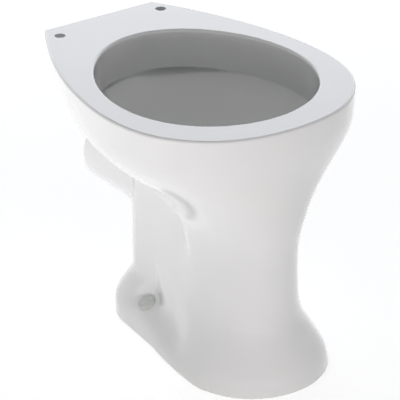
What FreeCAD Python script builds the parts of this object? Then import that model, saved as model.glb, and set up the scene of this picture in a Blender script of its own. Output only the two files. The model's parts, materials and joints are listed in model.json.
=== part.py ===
import FreeCAD, Part
import math
import os
from collections import namedtuple

# Floor-standing toilet pan of child height in glazed china, with hidden side fixings.
# Millimetres, +Z up, front towards -Y, origin on the floor under the middle of the pan.

Vec = FreeCAD.Vector
Section = namedtuple("Section", "z half_width nose widest back back_half back_power")

# Overall sizes
overall_length = 436.5
rim_height = 355.0
rim_depth = 52.0
china_wall = 11.0

# Character of the egg-shaped sections
side_power = 1.85
foot_nose_power = 2.0
rim_nose_power = 2.2
round_back = 0.5
blunt_back = 15.0
section_steps = 5
grading_steps = 2

# Foot outline and the waist that it draws in to, measured back from the tip of the toe
foot_half_width = 97.6
foot_widest = 95.0
foot_back = 295.0
waist_height = 95.0
waist_half_width = 64.0
waist_nose = 34.5
waist_widest = 124.0
waist_back = 283.0
flare_steps = 5

# Levels of the bowl below the rim, and of the front shell below the throat of the bowl
brim_drop = 14.0
lip_drop = 35.0
cheek_drop = 75.0
belly_drop = 100.0
swell_drop = 123.0
throat_drop = 143.0
brow_drop = 17.0
ridge_drop = 47.0
throat_height = rim_height - throat_drop
ridge_height = throat_height - ridge_drop
neck_height = (waist_height + ridge_height) / 2

# How far short of the deck's back each level of the bowl stops
brim_short = 6.5
lip_short = 32.5
collar_short = 58.5
cheek_short = 81.5
belly_short = 105.5
swell_short = 130.5
throat_short = 163.5
brim_back = overall_length - brim_short
lip_back = overall_length - lip_short
collar_back = overall_length - collar_short
cheek_back = overall_length - cheek_short
belly_back = overall_length - belly_short
swell_back = overall_length - swell_short
throat_back = overall_length - throat_short

# Front shell above the waist, whose rear edge stands proud of the column
neck = Section(neck_height, 63.0, 36.0, 130.0, 235.0, blunt_back, round_back)
ridge = Section(ridge_height, 64.0, 34.5, 139.0, 168.0, blunt_back, round_back)
brow = Section(throat_height - brow_drop, 69.0, 30.5, 146.0, 183.0, blunt_back, round_back)

# Bowl swelling out from the front shell to the rim
throat = Section(throat_height, 77.5, 28.5, 149.0, throat_back, blunt_back, round_back)
swell = Section(rim_height - swell_drop, 93.0, 28.0, 156.0, swell_back, blunt_back, round_back)
belly = Section(rim_height - belly_drop, 117.0, 27.0, 164.0, belly_back, blunt_back, round_back)
cheek = Section(rim_height - cheek_drop, 145.0, 24.0, 169.0, cheek_back, 25.0, round_back)
collar = Section(rim_height - rim_depth, 162.5, 19.0, 169.0, collar_back, 40.0, 0.6)
lip = Section(rim_height - lip_drop, 166.0, 14.5, 170.5, lip_back, 60.0, 0.75)
brim = Section(rim_height - brim_drop, 166.5, 12.3, 172.0, brim_back, 79.0, 0.93)

# Flat top of the rim with its rear deck, and the round that turns the side over into it
rim_half_width = 166.6
rim_nose = 12.0
rim_widest = 172.5
deck_half_width = 83.3
rim_edge_round = 3.5
roll_steps = 3
shoulder = Section(
    rim_height - rim_edge_round, rim_half_width, rim_nose, rim_widest, overall_length, deck_half_width, 1.0
)

# Rim opening, an egg, and the flushing channel that runs round inside the rim
opening_half_width = 132.0
rim_front_width = 42.5
deck_length = 82.0
opening_egg = 0.097
opening_points = 24
rim_skirt = 9.0
channel_reach = 45.0
rim_top_plate = 13.0
opening_front = rim_nose + rim_front_width
opening_back = overall_length - deck_length
opening_centre = (opening_front + opening_back) / 2
opening_half_length = (opening_back - opening_front) / 2

# Seat bolt holes through the deck
seat_hole_spacing = 155.0
seat_hole_radius = 7.0
seat_hole_from_back = 28.5

# Basin inside the bowl, and the sump that opens in its floor
bowl_floor_drop = 12.0
bowl_floor_wall = 16.0
sump_lip_half_width = 46.0
sump_lip_front = 50.0
sump_lip_back = 60.0
bowl_bottom = throat_height - bowl_floor_drop

# Rear column, its heel, and how far it runs up into the bowl
column_half_width = 56.0
column_setback = 172.5
column_front = 118.0
column_front_half = 59.0
column_below_belly = 5.0
heel_spread = 24.0
heel_front_half = 92.0
heel_edge = 18.0
ankle_height = 72.0
heel_steps = 6
column_height = belly.z - column_below_belly
column_centre = overall_length - column_setback

# Flush inlet horn under the deck, and the rubber seal pressed into it
inlet_drop = 65.0
horn_bore = 27.5
horn_wall = 10.5
horn_setback = 13.5
horn_bore_depth = 47.0
feed_overlap = 10.0
pipe_radius = 22.0
seal_grip = 30.0
seal_lip = 4.0
seal_lip_width = 5.5
inlet_height = rim_height - inlet_drop
horn_radius = horn_bore + horn_wall
horn_end = overall_length - horn_setback

# Outlet spigot, under the inlet horn: a plain end for a connector and a root that widens to the column
outlet_radius = 51.0
outlet_plain = 70.0
outlet_root_flare = 4.0
outlet_wall = 12.0
outlet_setback = 34.0
outlet_edge_round = 3.0
outlet_gap = 15.0
outlet_height = inlet_height - horn_radius - outlet_gap - outlet_radius
outlet_end = overall_length - outlet_setback

# Trapway from the sump to the outlet, clear of the floor
trap_bore = 34.0
trap_wall = 6.0
trap_bend = 44.0
trap_run = 6.0
trap_floor_gap = 10.0
rise_ahead = 14.0
trap_radius = trap_bore + trap_wall
trap_bottom_height = trap_floor_gap + trap_radius
rise_centre = column_centre - rise_ahead
sump_centre = rise_centre - 2 * trap_bend - trap_run

# Flat tilted seats for the fixings, in scoops at the sides of the column
fixing_tilt = 28.0
seat_x = 64.6
seat_ahead = 28.0
seat_height = 40.0
seat_wall = 11.0
scoop_radius = 33.0
scoop_x = 80.0
scoop_ahead = 33.0
scoop_lean = 5.0
scoop_top = 150.0
scoop_wall = 6.0
seat_from_toe = column_centre - seat_ahead
scoop_from_toe = column_centre - scoop_ahead

# Ledge along each side of the foot ahead of the seat, cut by a large disc with a round lower edge
ledge_height = 33.0
ledge_slope = 16.0
ledge_climb = 10.0
ledge_ahead = 66.0
ledge_inner_x = 60.0
ledge_wall = 8.0
disc_radius = 118.0
disc_round = 12.0
disc_height = 60.0
ledge_from_toe = column_centre - ledge_ahead

# Sleeve, washer and screw, from the seat downwards
sleeve_radius = 8.0
sleeve_gap = 0.2
sleeve_flange_width = 1.5
sleeve_flange_height = 1.5
sleeve_cup_wall = 1.6
sleeve_cup_depth = 8.0
sleeve_below = 1.0
screw_radius = 3.0
screw_gap = 0.3
screw_length = 36.0
screw_head_radius = 5.4
screw_head_height = 3.2
screw_slot_width = 1.6
screw_slot_depth = 1.8
washer_gap = 0.4
washer_height = 1.2
sleeve_cup = sleeve_radius - sleeve_cup_wall
cup_floor = sleeve_flange_height - sleeve_cup_depth
head_floor = cup_floor + washer_height

# Cap that snaps over the sleeve
cap_gap = 0.3
cap_radius = 11.4
cap_height = 3.5
cap_edge_round = 1.7
cap_roof = 1.6
cap_rim_wall = 1.4
cap_plug_wall = 0.9
cap_plug_depth = 3.4

# Floor bracket under each seat, and its two floor screw holes
bracket_boss_radius = 8.0
bracket_clear = 3.0
bracket_base = 5.0
bracket_inner_x = 36.0
bracket_outer_x = 66.0
bracket_half_length = 20.0
floor_hole_radius = 3.3
floor_hole_spacing = 28.0
floor_hole_x = 51.0

toe = -overall_length / 2
far = 2 * overall_length


def along(distance):
    """Y of a point that lies this far behind the toe."""
    return toe + distance


def smooth(t):
    t = min(max(t, 0.0), 1.0)
    return t * t * (3 - 2 * t)


def mix(a, b, t):
    return a + (b - a) * t


def loft(wires):
    return Part.makeLoft(wires, True, False, False, 3)


def slab(low, high):
    return Part.makeBox(2 * far, 2 * far, high - low, Vec(-far, -far, low))


def rod(radius, start, end):
    return Part.makeCylinder(radius, (end - start).Length, start, end - start)


def pipe(outer_radius, inner_radius, start, end):
    return rod(outer_radius, start, end).cut(rod(inner_radius, start, end))


def level_rod(radius, start, end, height):
    """Round bar along Y in the middle of the pan."""
    return rod(radius, Vec(0, along(start), height), Vec(0, along(end), height))


def single(shape):
    """The one solid of a result that comes wrapped in a compound."""
    return max(shape.Solids, key=lambda solid: solid.Volume)


def flare_section(z):
    s = smooth(z / waist_height)
    return Section(
        z,
        mix(foot_half_width, waist_half_width, s),
        waist_nose * s,
        mix(foot_widest, waist_widest, s),
        mix(foot_back, waist_back, s),
        blunt_back,
        round_back,
    )


def flare_sections():
    return [flare_section(waist_height * k / flare_steps) for k in range(flare_steps + 1)]


def easy_slopes(heights, values):
    """Slope at each station of a curve that never swings past its stations."""
    steps = [(b - a) / (k - h) for a, b, h, k in zip(values, values[1:], heights, heights[1:])]
    slopes = [steps[0]]
    for before, after in zip(steps, steps[1:]):
        same_way = before * after > 0
        slopes.append(2 * before * after / (before + after) if same_way else 0.0)
    slopes.append(steps[-1])
    return slopes


def graded(stations):
    """Fill in sections between the stations, each size on its own easy curve."""
    heights = [station.z for station in stations]
    slopes = [easy_slopes(heights, values) for values in zip(*stations)]
    filled = []
    for i, (low, high) in enumerate(zip(stations, stations[1:])):
        gap = high.z - low.z
        for k in range(grading_steps):
            t = k / grading_steps
            sizes = []
            for a, b, slope in zip(low, high, slopes):
                lift = slope[i] * t * (1 - t) ** 2 - slope[i + 1] * t ** 2 * (1 - t)
                sizes.append(mix(a, b, smooth(t)) + gap * lift)
            filled.append(Section(*sizes))
    filled.append(stations[-1])
    return filled


def egg_curve(section, inset=0.0):
    """Outline of one section from the right end of its straight back, round the nose, to the left."""
    half = section.half_width - inset
    y_nose = along(section.nose) + inset
    y_wide = along(section.widest)
    y_back = along(section.back) - inset
    corner = max(section.back_half - inset, blunt_back / 2)
    power = mix(foot_nose_power, rim_nose_power, section.z / rim_height)
    right = []
    for k in range(section_steps, 0, -1):
        u = 1 - (1 - k / section_steps) ** (1 / section.back_power)
        x = corner + (half - corner) * (1 - u ** side_power) ** section.back_power
        right.append((x, mix(y_wide, y_back, u)))
    for k in range(section_steps, 0, -1):
        a = math.pi / 2 * k / section_steps
        x = half * math.sin(a) ** (2 / power)
        right.append((x, mix(y_wide, y_nose, math.cos(a) ** (2 / power))))
    left = [(-x, y) for x, y in reversed(right)]
    points = [Vec(x, y, section.z) for x, y in right + [(0.0, y_nose)] + left]
    last = len(points) - 1
    curve = Part.BSplineCurve()
    curve.interpolate(Points=points, Parameters=[k / last for k in range(last + 1)])
    return curve


def skin(curves, levels):
    """Solid through a stack of outlines, closed by a straight back and two flat ends."""
    grid = []
    for column in zip(*[curve.getPoles() for curve in curves]):
        rise = Part.BSplineCurve()
        rise.interpolate(Points=list(column), Parameters=levels)
        grid.append(rise.getPoles())
    first = curves[0]
    upright = (rise.getMultiplicities(), rise.getKnots())
    side = Part.BSplineSurface()
    side.buildFromPolesMultsKnots(
        grid, first.getMultiplicities(), upright[0], first.getKnots(), upright[1],
        False, False, first.Degree, rise.Degree
    )
    back = Part.BSplineSurface()
    back.buildFromPolesMultsKnots(
        [grid[-1], grid[0]], [2, 2], upright[0], [0.0, 1.0], upright[1], False, False, 1, rise.Degree
    )
    faces = [side.toShape(), back.toShape()]
    for curve in (first, curves[-1]):
        line = Part.LineSegment(curve.EndPoint, curve.StartPoint)
        faces.append(Part.Face(Part.Wire([curve.toShape(), line.toShape()])))
    shell = Part.makeShell(faces)
    shell.sewShape()
    solid = Part.makeSolid(shell)
    if solid.Volume < 0:
        solid.reverse()
    return solid


def body_solid(stations, inset=0.0):
    sections = graded(stations)
    return skin([egg_curve(section, inset) for section in sections], [section.z for section in sections])


def rolled_edge():
    """Quarter round that turns the outside of the rim over into its flat top."""
    curves = []
    turns = [math.pi / 2 * k / roll_steps for k in range(roll_steps + 1)]
    for a in turns:
        level = shoulder._replace(z=shoulder.z + rim_edge_round * math.sin(a))
        curves.append(egg_curve(level, rim_edge_round * (1 - math.cos(a))))
    return skin(curves, turns)


def opening_prism(outset, low, high):
    """Upright prism over the egg of the rim opening, made larger all round by outset."""
    points = []
    for k in range(opening_points):
        t = 2 * math.pi * k / opening_points
        x = (opening_half_width + outset) * math.sin(t) * (1 + opening_egg * math.cos(t))
        y = along(opening_centre) - (opening_half_length + outset) * math.cos(t)
        points.append(Vec(x, y, low))
    curve = Part.BSplineCurve()
    curve.interpolate(Points=points, PeriodicFlag=True)
    return Part.Face(Part.Wire([curve.toShape()])).extrude(Vec(0, 0, high - low))


def column_wire(z, inset=0.0):
    """Outline of the rear column: a half round at the back and straight sides forwards."""
    s = smooth((z - heel_edge) / (ankle_height - heel_edge))
    radius = column_half_width + heel_spread * (1 - s) - inset
    front = mix(heel_front_half, column_front_half, s) - inset
    y_mid = along(column_centre)
    y_front = along(column_front)
    turn = radius * math.sqrt(0.5)
    right = Vec(radius, y_mid, z)
    left = Vec(-radius, y_mid, z)
    rear = Vec(0, y_mid + radius, z)
    right_front = Vec(front, y_front, z)
    left_front = Vec(-front, y_front, z)
    edges = [
        Part.Arc(right, Vec(turn, y_mid + turn, z), rear),
        Part.Arc(rear, Vec(-turn, y_mid + turn, z), left),
        Part.LineSegment(left, left_front),
        Part.LineSegment(left_front, right_front),
        Part.LineSegment(right_front, right),
    ]
    return Part.Wire([edge.toShape() for edge in edges])


def column_solid(low, inset=0.0):
    rise = ankle_height - heel_edge
    levels = [low] + [heel_edge + rise * k / heel_steps for k in range(heel_steps + 1)]
    heel = loft([column_wire(z, inset) for z in levels])
    shaft = Part.Face(column_wire(ankle_height, inset)).extrude(Vec(0, 0, column_height - ankle_height))
    return heel.fuse(shaft)


def placed(shape):
    """Shape moved onto the left seat, with its Z along the left screw's axis."""
    tilt = math.radians(fixing_tilt)
    axis = Vec(-math.sin(tilt), 0, math.cos(tilt))
    centre = Vec(-seat_x, along(seat_from_toe), seat_height)
    moved = shape.copy()
    moved.Placement = FreeCAD.Placement(centre, FreeCAD.Rotation(Vec(0, 0, 1), axis))
    return moved


def mirrored(shape):
    return shape.mirror(Vec(0, 0, 0), Vec(1, 0, 0))


def up(z):
    return Vec(0, 0, z)


def scoop(wall, floor_drop):
    """Hollow in the left of the column that leaves room for the cap and a driver."""
    lean = math.tan(math.radians(scoop_lean))
    y = along(scoop_from_toe)
    start = Vec(-scoop_x, y, 0)
    end = Vec(-scoop_x - scoop_top * lean, y, scoop_top)
    above_seat = placed(Part.makeBox(2 * far, 2 * far, far, Vec(-far, -far, -floor_drop)))
    return rod(scoop_radius + wall, start, end).common(above_seat)


def ledge_cut(wall):
    """Disc that cuts the left ledge: its floor slopes outwards and climbs towards the seat."""
    slope = math.radians(ledge_slope)
    climb = math.radians(ledge_climb)
    bend = disc_round + wall
    turns = [Vec(math.cos(a), 0, math.sin(a)) for a in (slope - math.pi / 2, slope / 2 - math.pi / 4, 0.0)]
    start, middle, end = [Vec(disc_radius - disc_round, 0, disc_round) + turn * bend for turn in turns]
    apex = up(start.z - start.x * math.tan(slope))
    rim = Vec(end.x, 0, disc_height)
    edges = [
        Part.LineSegment(apex, start),
        Part.Arc(start, middle, end),
        Part.LineSegment(end, rim),
        Part.LineSegment(rim, up(disc_height)),
        Part.LineSegment(up(disc_height), apex),
    ]
    profile = Part.Face(Part.Wire([edge.toShape() for edge in edges]))
    disc = profile.revolve(Vec(0, 0, 0), Vec(0, 0, 1), 360)
    centre = Vec(-ledge_inner_x - disc_radius, along(ledge_from_toe), ledge_height)
    axis = Vec(0, -math.sin(climb), math.cos(climb))
    disc.Placement = FreeCAD.Placement(centre, FreeCAD.Rotation(Vec(0, 0, 1), axis))
    return disc


def trap_tube(radius):
    """Round tube along the trapway: down the sump, under the dip, up the rise and out."""
    y_sump = along(sump_centre)
    y_rise = along(rise_centre)
    r = trap_bend
    k = r * math.sqrt(0.5)
    low = trap_bottom_height
    sump_foot = Vec(0, y_sump, low + r)
    dip_start = Vec(0, y_sump + r, low)
    dip_end = Vec(0, y_rise - r, low)
    rise_foot = Vec(0, y_rise, low + r)
    rise_head = Vec(0, y_rise, outlet_height - r)
    way_out = Vec(0, y_rise + r, outlet_height)
    edges = [
        Part.LineSegment(Vec(0, y_sump, bowl_bottom), sump_foot),
        Part.Arc(sump_foot, Vec(0, y_sump + r - k, low + r - k), dip_start),
        Part.LineSegment(dip_start, dip_end),
        Part.Arc(dip_end, Vec(0, y_rise - r + k, low + r - k), rise_foot),
        Part.LineSegment(rise_foot, rise_head),
        Part.Arc(rise_head, Vec(0, y_rise + r - k, outlet_height - r + k), way_out),
    ]
    path = Part.Wire([edge.toShape() for edge in edges])
    ring = Part.Wire([Part.makeCircle(radius, Vec(0, y_sump, bowl_bottom), Vec(0, 0, 1))])
    bends = path.makePipeShell([ring], True, False)
    return bends.fuse(rod(radius, way_out, Vec(0, along(outlet_end), outlet_height)))


def make_rim(body):
    rim = body.common(slab(collar.z, rim_height)).fuse(rolled_edge())
    rim = single(rim.cut(opening_prism(0.0, collar.z - china_wall, rim_height + china_wall)))
    edge = max(
        (e for e in rim.Edges if e.isClosed() and abs(e.BoundBox.ZMin - rim_height) < rim_edge_round),
        key=lambda e: e.Length,
    )
    rim = rim.makeFillet(rim_edge_round, [edge])
    channel_top = rim_height - rim_top_plate
    inner = body_solid([collar, lip, brim, shoulder], china_wall).common(slab(collar.z, channel_top))
    channel = inner.common(opening_prism(channel_reach, collar.z, channel_top))
    rim = rim.cut(channel.cut(opening_prism(rim_skirt, collar.z, channel_top)))
    for side in (-1, 1):
        centre = Vec(side * seat_hole_spacing / 2, along(overall_length - seat_hole_from_back), 0)
        rim = rim.cut(rod(seat_hole_radius, centre, centre + up(far)))
    return single(rim.cut(level_rod(horn_bore, collar.back - feed_overlap, horn_end, inlet_height)))


def make_bowl(outer):
    bowl = outer.common(slab(bowl_bottom, collar.z))
    sump_lip = Section(
        bowl_bottom + bowl_floor_wall,
        sump_lip_half_width + china_wall,
        sump_centre - sump_lip_front - china_wall,
        sump_centre,
        sump_centre + sump_lip_back + china_wall,
        blunt_back,
        round_back,
    )
    basin = body_solid([sump_lip, belly, cheek, collar], china_wall)
    sump = Vec(0, along(sump_centre), 0)
    bowl = bowl.cut(basin).cut(rod(trap_bore, sump, sump + up(belly.z)))
    return single(bowl.cut(trap_tube(trap_bore)))


def make_pedestal(outer):
    below = -china_wall
    thick = scoop(scoop_wall, seat_wall).fuse(ledge_cut(ledge_wall))
    stations = [flare_section(below)] + flare_sections() + [neck, ridge, brow, throat]
    pedestal = outer.common(slab(0, bowl_bottom))
    for inside in (body_solid(stations, china_wall), column_solid(below, china_wall)):
        hollow = inside.common(slab(below, bowl_bottom)).cut(thick).cut(mirrored(thick))
        pedestal = pedestal.cut(hollow)
    hole = placed(rod(sleeve_radius + sleeve_gap, up(-2 * seat_wall), up(seat_wall)))
    for cut in (scoop(0.0, 0.0), ledge_cut(0.0), hole):
        pedestal = pedestal.cut(cut).cut(mirrored(cut))
    return single(pedestal.cut(trap_tube(trap_bore)))


def make_trapway(outer, pedestal):
    tube = trap_tube(trap_radius).cut(trap_tube(trap_bore))
    return single(tube.common(outer).common(slab(0, bowl_bottom)).cut(pedestal))


def make_outlet_spigot(outer):
    root_end = outlet_end - outlet_plain
    spigot = level_rod(outlet_radius, root_end, outlet_end, outlet_height)
    rings = [e for e in spigot.Edges if e.isClosed()]
    tip = [e for e in rings if along(outlet_end) - e.BoundBox.YMin < outlet_edge_round]
    spigot = spigot.makeFillet(outlet_edge_round, tip)
    start = Vec(0, along(column_centre), outlet_height)
    root = Part.makeCone(
        outlet_radius + outlet_root_flare, outlet_radius, root_end - column_centre, start, Vec(0, 1, 0)
    )
    spigot = spigot.fuse(root).cut(outer)
    bore = outlet_radius - outlet_wall
    return single(spigot.cut(level_rod(bore, column_centre, outlet_end, outlet_height)))


def make_inlet_horn(outer):
    horn = level_rod(horn_radius, column_centre, horn_end, inlet_height).cut(outer)
    return single(horn.cut(level_rod(horn_bore, horn_end - horn_bore_depth, horn_end, inlet_height)))


def make_inlet_seal():
    seal = level_rod(horn_bore, horn_end - seal_grip, horn_end, inlet_height)
    seal = seal.fuse(level_rod(horn_bore + seal_lip_width, horn_end, horn_end + seal_lip, inlet_height))
    return single(seal.cut(level_rod(pipe_radius, horn_end - seal_grip, horn_end + seal_lip, inlet_height)))


def make_sleeve():
    sleeve = rod(sleeve_radius, up(-seat_wall - sleeve_below), up(sleeve_flange_height))
    sleeve = sleeve.fuse(rod(sleeve_radius + sleeve_flange_width, up(0), up(sleeve_flange_height)))
    sleeve = sleeve.cut(rod(sleeve_cup, up(cup_floor), up(sleeve_flange_height)))
    return single(sleeve.cut(rod(screw_radius + screw_gap, up(-2 * seat_wall), up(cup_floor))))


def make_washer():
    return single(pipe(sleeve_cup - washer_gap, screw_radius + screw_gap, up(cup_floor), up(head_floor)))


def make_screw():
    top = head_floor + screw_head_height
    screw = rod(screw_head_radius, up(head_floor), up(top))
    screw = screw.fuse(rod(screw_radius, up(-screw_length), up(head_floor)))
    half = screw_slot_width / 2
    reach = screw_head_radius - screw_slot_width
    floor = top - screw_slot_depth
    slot = Part.makeBox(2 * reach, screw_slot_width, screw_slot_depth, Vec(-reach, -half, floor))
    cross = Part.makeBox(screw_slot_width, 2 * reach, screw_slot_depth, Vec(-half, -reach, floor))
    return single(screw.cut(slot).cut(cross))


def make_cap():
    crown = cap_gap + cap_height
    rim_in = cap_radius - cap_rim_wall
    disc = rod(cap_radius, up(cap_gap), up(crown))
    brow_edge = [e for e in disc.Edges if e.isClosed() and abs(e.BoundBox.ZMin - crown) < cap_edge_round]
    disc = disc.makeFillet(cap_edge_round, brow_edge)
    roof = crown - cap_roof
    plug = sleeve_cup - cap_gap
    cap = disc.cut(rod(rim_in, up(cap_gap), up(roof)))
    return single(cap.fuse(pipe(plug, plug - cap_plug_wall, up(roof - cap_plug_depth), up(roof))))


def make_bracket():
    y = along(seat_from_toe)
    width = bracket_outer_x - bracket_inner_x
    corner = Vec(-bracket_outer_x, y - bracket_half_length, 0)
    bracket = Part.makeBox(width, 2 * bracket_half_length, bracket_base, corner)
    boss_top = -seat_wall - bracket_clear
    bracket = bracket.fuse(placed(rod(bracket_boss_radius, up(boss_top), up(-2 * seat_height))))
    bracket = bracket.common(slab(0, seat_height))
    bracket = bracket.cut(placed(rod(screw_radius, up(-screw_length), up(0))))
    for side in (-1, 1):
        hole = Vec(-floor_hole_x, y + side * floor_hole_spacing / 2, 0)
        bracket = bracket.cut(rod(floor_hole_radius, hole, hole + up(seat_height)))
    return single(bracket)


def make_parts():
    shell = [neck, ridge, brow]
    basin = [throat, swell, belly, cheek, collar]
    body = body_solid(flare_sections() + shell + basin + [lip, brim, shoulder])
    outer = body.fuse(column_solid(0.0))
    parts = {
        "rim_ring": make_rim(body),
        "bowl": make_bowl(outer),
        "pedestal": make_pedestal(outer),
        "outlet_spigot": make_outlet_spigot(outer),
        "inlet_horn": make_inlet_horn(outer),
        "inlet_seal": make_inlet_seal(),
    }
    parts["trapway"] = make_trapway(outer, parts["pedestal"])
    fixings = {
        "screw_sleeve": placed(make_sleeve()),
        "washer": placed(make_washer()),
        "fixing_screw": placed(make_screw()),
        "screw_cap": placed(make_cap()),
        "floor_bracket": make_bracket(),
    }
    for name, shape in fixings.items():
        parts["left_" + name] = shape
        parts["right_" + name] = mirrored(shape)
    return parts


os.makedirs("parts", exist_ok=True)
for node, shape in make_parts().items():
    print(node, "valid" if shape.isValid() else "NOT VALID", len(shape.Solids), round(shape.Volume))
    shape.exportStep("parts/" + node + ".step")
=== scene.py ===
# %% [markdown]
# # A floor-standing toilet pan in white glazed china
# The exact solids come in first, as a fixed frame in metres. Everything after this cell is
# looks: a glazed skin over the china, finishes for the fittings, light and a camera.

# %% Load the frame
import json
import math

import bmesh
import bpy
from mathutils import Matrix, Vector


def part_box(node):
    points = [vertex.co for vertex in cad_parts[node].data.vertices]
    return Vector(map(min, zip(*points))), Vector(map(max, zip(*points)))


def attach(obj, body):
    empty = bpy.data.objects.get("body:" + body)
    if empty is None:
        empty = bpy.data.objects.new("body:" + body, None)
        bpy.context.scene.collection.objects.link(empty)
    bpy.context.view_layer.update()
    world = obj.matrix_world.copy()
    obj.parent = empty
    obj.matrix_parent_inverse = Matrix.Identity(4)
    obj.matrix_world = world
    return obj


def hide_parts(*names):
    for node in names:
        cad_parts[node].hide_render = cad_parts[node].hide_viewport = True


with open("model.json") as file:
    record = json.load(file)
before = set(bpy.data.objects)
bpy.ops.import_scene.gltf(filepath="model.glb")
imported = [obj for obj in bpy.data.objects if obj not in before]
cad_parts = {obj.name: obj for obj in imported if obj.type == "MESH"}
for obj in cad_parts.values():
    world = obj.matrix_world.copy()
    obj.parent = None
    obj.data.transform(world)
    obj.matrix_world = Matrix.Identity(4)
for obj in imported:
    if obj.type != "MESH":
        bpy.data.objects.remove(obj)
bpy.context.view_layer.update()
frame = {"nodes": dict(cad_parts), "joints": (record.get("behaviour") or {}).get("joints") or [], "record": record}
nodes = frame["nodes"]

# %% [markdown]
# ## The camera
# The pan is seen from the front left and a little above, with a long lens. A long lens keeps
# upright lines nearly parallel, so the camera stands well back. It looks along a line given by
# two angles, and a small shift slides the picture without turning the camera.

# %% Camera
view_azimuth = math.radians(35.36)
view_elevation = math.radians(26.5)
view_distance = 3.2
view_target = Vector((0.0028, -0.0267, 0.2079))
lens_mm = 229.93
sensor_mm = 36
frame_shift = (-0.0249, -0.0382)
view_limit = 50

towards_camera = Vector((
    -math.sin(view_azimuth) * math.cos(view_elevation),
    -math.cos(view_azimuth) * math.cos(view_elevation),
    math.sin(view_elevation),
))
camera_data = bpy.data.cameras.new("camera")
camera_data.lens = lens_mm
camera_data.sensor_width = sensor_mm
camera_data.shift_x, camera_data.shift_y = frame_shift
camera_data.clip_end = view_limit
camera = bpy.data.objects.new("camera", camera_data)
camera.location = view_target + towards_camera * view_distance
camera.rotation_euler = towards_camera.to_track_quat("Z", "Y").to_euler()
bpy.context.scene.collection.objects.link(camera)
bpy.context.scene.camera = camera
print("camera at", [round(c, 4) for c in camera.location])

# %% [markdown]
# ## Places that the looks take from the frame
# A skin has to agree with the solids, so its screw holes are found from the fittings.
# A washer is the same all round, so the middle of its box lies on the screw's leaning axis,
# and the flat seat in the china is a known height above it.

# %% Screw seats
washer_below_seat = 0.0059
seats = []
for joint in frame["joints"]:
    side = joint["child"].split("_")[0]
    axis = Vector(joint["axis"])
    low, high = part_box(side + "_washer")
    seats.append(((low + high) / 2 + axis * washer_below_seat, axis))
print("screw seats:", [[round(c, 4) for c in seat] for seat, axis in seats])

# %% [markdown]
# ## A glazed skin over the bowl and the pedestal
# A pan is cast in sections that are joined wet and fired as one, and the glaze flows over
# every joint. Beveling each edge of the solids would be slow and brittle. Instead the solids
# are copied into one mesh and remeshed into an even grid, which melts the joints together,
# and then relaxed so that the edges round over as glaze does. The rim's solid already has its
# round edges and stays, but a copy of it goes into the grid so that the skin runs up to it
# without a step. A grid can't hold a small hole, so each screw hole is plugged and cut later.

# %% Copy the solids
skinned = ("bowl", "pedestal")
weld_distance = 1e-6
foot_spare = 0.012
hole_radius = 0.0082
plug_depth = 0.007
hole_sides = 64


def vertices_of(made):
    return [item for item in made if isinstance(item, bmesh.types.BMVert)]


def edges_of(made):
    return [item for item in made if isinstance(item, bmesh.types.BMEdge)]


def add_rod(target, top, axis, length):
    """Add a rod as wide as a screw hole, from its top down along an axis."""
    turn = axis.to_track_quat("Z", "Y").to_matrix().to_4x4()
    bmesh.ops.create_cone(
        target, cap_ends=True, segments=hole_sides, radius1=hole_radius, radius2=hole_radius,
        depth=length, matrix=Matrix.Translation(top - axis * length / 2) @ turn,
    )


cast = bmesh.new()
for node in skinned + ("rim_ring",):
    cast.from_mesh(nodes[node].data)
bmesh.ops.remove_doubles(cast, verts=cast.verts, dist=weld_distance)
underside = [
    face for face in cast.faces
    if max(abs(v.co.z) for v in face.verts) < weld_distance
]
lower = vertices_of(bmesh.ops.extrude_face_region(cast, geom=underside)["geom"])
bmesh.ops.translate(cast, verts=lower, vec=(0, 0, -foot_spare))
for seat, axis in seats:
    add_rod(cast, seat, axis, plug_depth)
print("cast faces:", len(cast.faces))

# %% Melt the sections together
grid_size = 0.00305


def new_piece(name, form):
    """Make a bmesh an object of the scene."""
    mesh = bpy.data.meshes.new(name)
    form.to_mesh(mesh)
    form.free()
    piece = bpy.data.objects.new(name, mesh)
    bpy.context.scene.collection.objects.link(piece)
    return piece


def settle(piece):
    """Make a piece's modifiers part of its mesh."""
    depsgraph = bpy.context.evaluated_depsgraph_get()
    mesh = bpy.data.meshes.new_from_object(piece.evaluated_get(depsgraph))
    piece.modifiers.clear()
    piece.data = mesh


skin = new_piece("china_skin", cast)
melt = skin.modifiers.new("melt", "REMESH")
melt.mode = "VOXEL"
melt.voxel_size = grid_size
settle(skin)
print("grid faces:", len(skin.data.polygons))

# %% [markdown]
# The joints between front shell, rear column and fixing niches are soft on a real pan. The
# relaxing is weaker at the rear, where the outlet keeps its solid. It fades out towards the rim,
# which keeps its solid too, and round the screw seats, which stay flat. A Smooth modifier takes
# a weight for each point, so one helper does for every place.

# %% Relax the joints
soft_top = (0.270, 0.296)
soft_rear = (0.062, 0.092)
soft_seat = (0.013, 0.024)
soft_step = 0.5
soft_passes = 16
rear_share = 0.4


def ramp(value, limits):
    """Zero below two limits, one above them and even between them."""
    t = (value - limits[0]) / (limits[1] - limits[0])
    return min(max(t, 0.0), 1.0)


def relax(piece, name, passes, weigh):
    """Smooth a piece by as much as each point's weight says."""
    group = piece.vertex_groups.new(name=name)
    for vertex in piece.data.vertices:
        weight = weigh(vertex.co)
        if weight > 0:
            group.add([vertex.index], weight, "REPLACE")
    soften = piece.modifiers.new(name, "SMOOTH")
    soften.factor = soft_step
    soften.iterations = passes
    soften.vertex_group = group.name
    settle(piece)
    piece.vertex_groups.clear()


def off_seat(point):
    """Zero on a screw seat, one away from both."""
    return min(ramp((point - seat).length, soft_seat) for seat, axis in seats)


def joint_weight(point):
    """How much a point is relaxed with the joints."""
    rear = max(1 - ramp(point.y, soft_rear), rear_share)
    return (1 - ramp(point.z, soft_top)) * rear * off_seat(point)


relax(skin, "joints", soft_passes, joint_weight)
print("joints relaxed in", soft_passes, "passes")

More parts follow.
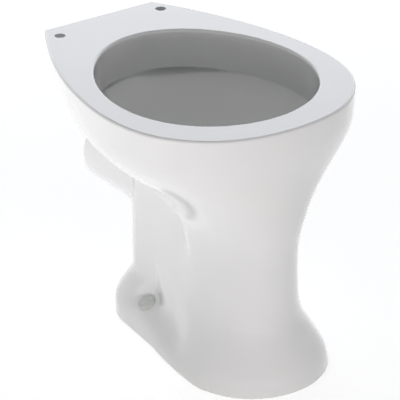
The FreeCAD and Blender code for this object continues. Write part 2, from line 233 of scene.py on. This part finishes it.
# %% [markdown]
# Two spots on each side have no clear end. The ledge of the foot fades out into the front, and
# so does the hollow under the bowl. They are relaxed for much longer than the rest, each within
# a reach of its own, but not the foot's edge below. A few passes over everything then even out
# what is left of the grid's steps.

# %% Fade the ledges and hollows out
fade_spots = (
    (Vector((0.074, -0.074, 0.054)), (0.036, 0.076)),
    (Vector((0.092, -0.117, 0.240)), (0.026, 0.062)),
)
floor_fade = (0.010, 0.028)
fade_passes = 240
even_passes = 4


def spot_weight(point):
    """How much a point on either side belongs to a spot that fades out."""
    beside = Vector((abs(point.x), point.y, point.z))
    near = max(1 - ramp((beside - spot).length, reach) for spot, reach in fade_spots)
    return near * ramp(point.z, floor_fade) * (1 - ramp(point.z, soft_top)) * off_seat(point)


relax(skin, "spots", fade_passes, spot_weight)
relax(skin, "even", even_passes, lambda point: 1.0)
print("relaxed points:", len(skin.data.vertices))

# %% [markdown]
# The skin is cut off level where the rim begins. At the floor a grid can't hold a clean edge
# either, and the foot was made longer for that reason. It is cut off a little above the floor,
# and its outer edge is drawn down and inwards along a quarter circle before the flat
# underside is filled in.

# %% Trim the top and the foot
rim_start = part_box("bowl")[1].z
foot_round = 0.003
foot_steps = 5


def level_cut(form, height, above):
    """Cut a form off level and return its cut edges as loops, the longest first."""
    whole = form.verts[:] + form.edges[:] + form.faces[:]
    made = bmesh.ops.bisect_plane(
        form, geom=whole, plane_co=(0, 0, height), plane_no=(0, 0, 1),
        clear_outer=above, clear_inner=not above,
    )
    left = dict.fromkeys(edges_of(made["geom_cut"]))
    loops = []
    while left:
        loop = [left.popitem()[0]]
        for edge in loop:
            near = dict.fromkeys(e for v in edge.verts for e in v.link_edges if e in left)
            for joined in near:
                del left[joined]
            loop.extend(near)
        loops.append(loop)
    return sorted(loops, key=lambda loop: -sum(e.calc_length() for e in loop))


def draw_down(form, loop, drop, inset, steps):
    """Draw a cut edge down and inwards along a quarter of an ellipse."""
    form.normal_update()
    start = {}
    for v in dict.fromkeys(v for edge in loop for v in edge.verts):
        start[v] = (v.co.copy(), Vector((-v.normal.x, -v.normal.y, 0)).normalized())
    for step in range(1, steps + 1):
        turn = step / steps * math.pi / 2
        made = bmesh.ops.extrude_edge_only(form, edges=loop)["geom"]
        loop = edges_of(made)
        drawn = {}
        for v in vertices_of(made):
            ends = (edge.other_vert(v) for edge in v.link_edges)
            place, inwards = next(start[end] for end in ends if end in start)
            across = inwards * inset * (1 - math.cos(turn))
            v.co = place + across - Vector((0, 0, drop * math.sin(turn)))
            drawn[v] = (place, inwards)
        start = drawn
    return loop


form = bmesh.new()
form.from_mesh(skin.data)
top_loops = level_cut(form, rim_start, above=True)
bmesh.ops.triangle_fill(form, edges=[e for loop in top_loops for e in loop], use_beauty=True)
foot_loops = level_cut(form, foot_round, above=False)
print("loops at the top:", len(top_loops), "at the foot:", len(foot_loops))
outer = draw_down(form, foot_loops[0], drop=foot_round, inset=foot_round, steps=foot_steps)
inner = [
    e for loop in foot_loops[1:]
    for e in draw_down(form, loop, drop=foot_round, inset=0.0, steps=1)
]
bmesh.ops.triangle_fill(form, edges=outer + inner, use_beauty=True)
bmesh.ops.recalc_face_normals(form, faces=form.faces)
form.to_mesh(skin.data)
form.free()

# %% [markdown]
# A screw hole has a crisp edge and leans with its screw. Two rods along the screws' axes are
# taken away from the skin by a Boolean, after all relaxing, so that nothing rounds the holes.

# %% Cut the screw holes
drill_reach = 0.03
drill_form = bmesh.new()
for seat, axis in seats:
    add_rod(drill_form, seat + axis * drill_reach, axis, 2 * drill_reach)
drill = new_piece("drill", drill_form)
cut = skin.modifiers.new("cut", "BOOLEAN")
cut.operation = "DIFFERENCE"
cut.solver = "EXACT"
cut.object = drill
settle(skin)
bpy.data.objects.remove(drill)
print("skin faces:", len(skin.data.polygons))

# %% [markdown]
# The skin is shaded smooth, apart from the edges of its cuts. It rides on the pan's body and
# hides the two solids that it replaces.

# %% Finish the skin
crease_angle = math.radians(50)
skin.data.shade_smooth()
skin.data.set_sharp_from_angle(angle=crease_angle)
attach(skin, "pan")
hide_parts(*skinned)
print("skin triangles:", sum(len(face.vertices) - 2 for face in skin.data.polygons))

# %% [markdown]
# ## Finishes
# Each finish is one shader with patterns that drive its colour, its gloss and a fine relief.
# The patterns read Object coordinates, so they stay with the piece at any pose and any angle.

# %% Helpers for finishes
tint_stops = (0.35, 0.65)


def new_finish(name, **sockets):
    """A material with one shader, with some of the shader's values set."""
    finish = bpy.data.materials.new(name)
    finish.use_nodes = True
    shader = finish.node_tree.nodes["Principled BSDF"]
    for socket, value in sockets.items():
        shader.inputs[socket.replace("_", " ")].default_value = value
    return finish


def add_pattern(finish, scale, detail, stretch=(1, 1, 1)):
    """Noise in Object coordinates, for what varies over a finish."""
    tree = finish.node_tree
    place = tree.nodes.new("ShaderNodeTexCoord")
    mapping = tree.nodes.new("ShaderNodeMapping")
    mapping.inputs["Scale"].default_value = stretch
    noise = tree.nodes.new("ShaderNodeTexNoise")
    noise.inputs["Scale"].default_value = scale
    noise.inputs["Detail"].default_value = detail
    tree.links.new(place.outputs["Object"], mapping.inputs["Vector"])
    tree.links.new(mapping.outputs["Vector"], noise.inputs["Vector"])
    return noise


def tint(finish, pattern, dark, light):
    """Let a pattern move the colour between two shades."""
    tree = finish.node_tree
    shades = tree.nodes.new("ShaderNodeValToRGB")
    for stop, place, shade in zip(shades.color_ramp.elements, tint_stops, (dark, light)):
        stop.position = place
        stop.color = (*shade, 1)
    tree.links.new(pattern.outputs["Fac"], shades.inputs["Fac"])
    shader = tree.nodes["Principled BSDF"]
    tree.links.new(shades.outputs["Color"], shader.inputs["Base Color"])


def gloss(finish, pattern, smoothest, roughest):
    """Let a pattern move the gloss between two levels."""
    tree = finish.node_tree
    spread = tree.nodes.new("ShaderNodeMapRange")
    spread.inputs["To Min"].default_value = smoothest
    spread.inputs["To Max"].default_value = roughest
    tree.links.new(pattern.outputs["Fac"], spread.inputs["Value"])
    tree.links.new(spread.outputs["Result"], tree.nodes["Principled BSDF"].inputs["Roughness"])


def relief(finish, pattern, strength, depth):
    """Let a pattern raise a fine relief."""
    tree = finish.node_tree
    bump = tree.nodes.new("ShaderNodeBump")
    bump.inputs["Strength"].default_value = strength
    bump.inputs["Distance"].default_value = depth
    tree.links.new(pattern.outputs["Fac"], bump.inputs["Height"])
    tree.links.new(bump.outputs["Normal"], tree.nodes["Principled BSDF"].inputs["Normal"])


# %% [markdown]
# The glaze is a thin glass over white clay. Its colour hardly varies, and its gloss wanders a
# little where it pooled or ran thin. A clear coat gives the sharp upper reflection.

# %% Glaze
glaze = new_finish("white_glaze", Coat_Weight=1.0, Coat_Roughness=0.03, IOR=1.5)
pooling = add_pattern(glaze, scale=7, detail=2)
tint(glaze, pooling, dark=(0.83, 0.832, 0.835), light=(0.865, 0.865, 0.863))
gloss(glaze, add_pattern(glaze, scale=22, detail=3), smoothest=0.10, roughest=0.18)
relief(glaze, add_pattern(glaze, scale=45, detail=2), strength=0.05, depth=0.0006)
skin.data.materials.clear()
skin.data.materials.append(glaze)
print("glazed:", skin.name)

# %% [markdown]
# The seal is soft rubber, the sleeves, brackets and caps are moulded plastic, and the screws
# and washers are bright steel with fine turned lines.

# %% Finishes of the fittings
rubber = new_finish("seal_rubber")
bloom = add_pattern(rubber, scale=60, detail=3)
tint(rubber, bloom, dark=(0.022, 0.022, 0.023), light=(0.042, 0.042, 0.043))
gloss(rubber, add_pattern(rubber, scale=140, detail=2), smoothest=0.55, roughest=0.75)
relief(rubber, add_pattern(rubber, scale=700, detail=3), strength=0.2, depth=0.0002)

moulded = new_finish("moulded_plastic", IOR=1.46)
clouds = add_pattern(moulded, scale=40, detail=2)
tint(moulded, clouds, dark=(0.66, 0.66, 0.64), light=(0.72, 0.72, 0.70))
gloss(moulded, add_pattern(moulded, scale=160, detail=2), smoothest=0.38, roughest=0.5)
relief(moulded, add_pattern(moulded, scale=900, detail=2), strength=0.15, depth=0.0001)

cap_plastic = new_finish("cap_plastic", IOR=1.46)
clouds = add_pattern(cap_plastic, scale=50, detail=2)
tint(cap_plastic, clouds, dark=(0.60, 0.63, 0.60), light=(0.66, 0.69, 0.66))
gloss(cap_plastic, add_pattern(cap_plastic, scale=120, detail=2), smoothest=0.22, roughest=0.32)
relief(cap_plastic, add_pattern(cap_plastic, scale=800, detail=2), strength=0.1, depth=0.0001)

turned = (1, 1, 8)
steel = new_finish("bright_steel", Metallic=1.0)
lines = add_pattern(steel, scale=300, detail=4, stretch=turned)
tint(steel, lines, dark=(0.52, 0.52, 0.53), light=(0.66, 0.66, 0.67))
lines = add_pattern(steel, scale=500, detail=3, stretch=turned)
gloss(steel, lines, smoothest=0.22, roughest=0.36)
lines = add_pattern(steel, scale=900, detail=3, stretch=turned)
relief(steel, lines, strength=0.15, depth=0.0001)

finishes = {
    "china": glaze,
    "seal_rubber": rubber,
    "fixing_plastic": moulded,
    "fixing_steel": steel,
    "cap_plastic": cap_plastic,
}
for subpart in frame["record"]["subparts"]:
    for holder in nodes[subpart["node"]].material_slots:
        holder.material = finishes[subpart["material_slot"]]
print("finishes:", sorted(finishes))

# %% [markdown]
# ## Floor and light
# White china shows its form only by soft changes of light, so the room is bright and plain.
# The inside of the bowl is the darkest part, which means that little light comes from above:
# most of it comes in low, from a wide strip in front and a weaker one at the back. A panel that
# lies on the floor at the left lights the bowl from below, as a bright floor would. A large
# panel behind lights the flat rim and also shows in its glaze, as a window would. To the camera
# and in other reflections the room is simply white.

# %% A room that looks white


def seen_rays(tree):
    """One where the camera, a reflection or a clear surface looks, else zero."""
    rays = tree.nodes.new("ShaderNodeLightPath")
    last = rays.outputs["Is Camera Ray"]
    for name in ("Is Glossy Ray", "Is Transmission Ray"):
        either = tree.nodes.new("ShaderNodeMath")
        either.operation = "MAXIMUM"
        tree.links.new(last, either.inputs[0])
        tree.links.new(rays.outputs[name], either.inputs[1])
        last = either.outputs["Value"]
    return last


low_light = 0.76
high_light = 0.22
low_light_reach = (0.08, 0.30)
seen_level = 1.0
world = bpy.data.worlds.new("studio")
bpy.context.scene.world = world
world.use_nodes = True
tree = world.node_tree
direction = tree.nodes.new("ShaderNodeTexCoord")
split = tree.nodes.new("ShaderNodeSeparateXYZ")
fall = tree.nodes.new("ShaderNodeMapRange")
fall.interpolation_type = "SMOOTHSTEP"
for end, limit in zip(("From Min", "From Max"), low_light_reach):
    fall.inputs[end].default_value = limit
fall.inputs["To Min"].default_value = low_light
fall.inputs["To Max"].default_value = high_light
level = tree.nodes.new("ShaderNodeMix")
level.inputs["B"].default_value = seen_level
tree.links.new(direction.outputs["Generated"], split.inputs["Vector"])
tree.links.new(split.outputs["Z"], fall.inputs["Value"])
tree.links.new(seen_rays(tree), level.inputs["Factor"])
tree.links.new(fall.outputs["Result"], level.inputs["A"])
tree.links.new(level.outputs["Result"], tree.nodes["Background"].inputs["Strength"])
tree.nodes["Background"].inputs["Color"].default_value = (1, 1, 1, 1)
print("light of the room:", low_light, "near the floor,", high_light, "above")

# %% Floor
floor_reach = 8.0
floor_gap = 0.0002
floor_shade = 0.9
floor_glow = 0.6
floor_form = bmesh.new()
bmesh.ops.create_grid(floor_form, x_segments=1, y_segments=1, size=floor_reach)
floor = new_piece("floor", floor_form)
floor.location.z = -floor_gap
pale = new_finish("pale_floor", Roughness=1.0, Specular_IOR_Level=0.0)
pale_shader = pale.node_tree.nodes["Principled BSDF"]
pale_shader.inputs["Base Color"].default_value = (floor_shade, floor_shade, floor_shade, 1)
pale_shader.inputs["Emission Color"].default_value = (1, 1, 1, 1)
glow = pale.node_tree.nodes.new("ShaderNodeMath")
glow.operation = "MULTIPLY"
glow.inputs[1].default_value = floor_glow
pale.node_tree.links.new(seen_rays(pale.node_tree), glow.inputs[0])
pale.node_tree.links.new(glow.outputs["Value"], pale_shader.inputs["Emission Strength"])
floor.data.materials.append(pale)
print("floor:", 2 * floor_reach, "m wide")

# %% Softboxes
light_aim = Vector((0, 0, 0.2))


def add_softbox(name, bearing, distance, height, size, brightness, colour):
    """A soft panel facing the pan; the bearing is measured from the camera's own."""
    angle = view_azimuth + math.radians(bearing)
    place = Vector((-math.sin(angle) * distance, -math.cos(angle) * distance, height))
    data = bpy.data.lights.new(name, "AREA")
    data.shape = "RECTANGLE"
    data.size, data.size_y = size
    data.energy = math.pi * size[0] * size[1] * brightness
    data.color = colour
    lamp = bpy.data.objects.new(name, data)
    lamp.location = place
    lamp.rotation_euler = (place - light_aim).to_track_quat("Z", "Y").to_euler()
    bpy.context.scene.collection.objects.link(lamp)
    return lamp


# %% Place the lamps
under_bearing = 85
front_strip = add_softbox(
    "front_strip", bearing=-3, distance=2.5, height=0.24,
    size=(5.0, 0.46), brightness=4.75, colour=(1.02, 0.98, 0.97),
)
side_strip = add_softbox(
    "side_strip", bearing=142, distance=2.5, height=0.3,
    size=(3.0, 0.6), brightness=1.8, colour=(1.0, 0.99, 1.0),
)
under_panel = add_softbox(
    "under_panel", bearing=under_bearing, distance=0.85, height=0.01,
    size=(1.6, 0.7), brightness=3.0, colour=(1.0, 0.99, 1.01),
)
under_panel.rotation_euler = (math.pi, 0, -view_azimuth - math.radians(under_bearing))
under_panel.visible_camera = False
add_softbox(
    "back_panel", bearing=180, distance=3.0, height=1.85,
    size=(5.0, 1.9), brightness=1.12, colour=(0.94, 0.98, 1.06),
)
for lamp in (front_strip, side_strip, under_panel):
    lamp.visible_glossy = False
print("lamps:", [light.name for light in bpy.data.lights])

# %% [markdown]
# ## View
# The standard view shows colours as they were written.

# %% View
bpy.context.scene.view_settings.view_transform = "Standard"
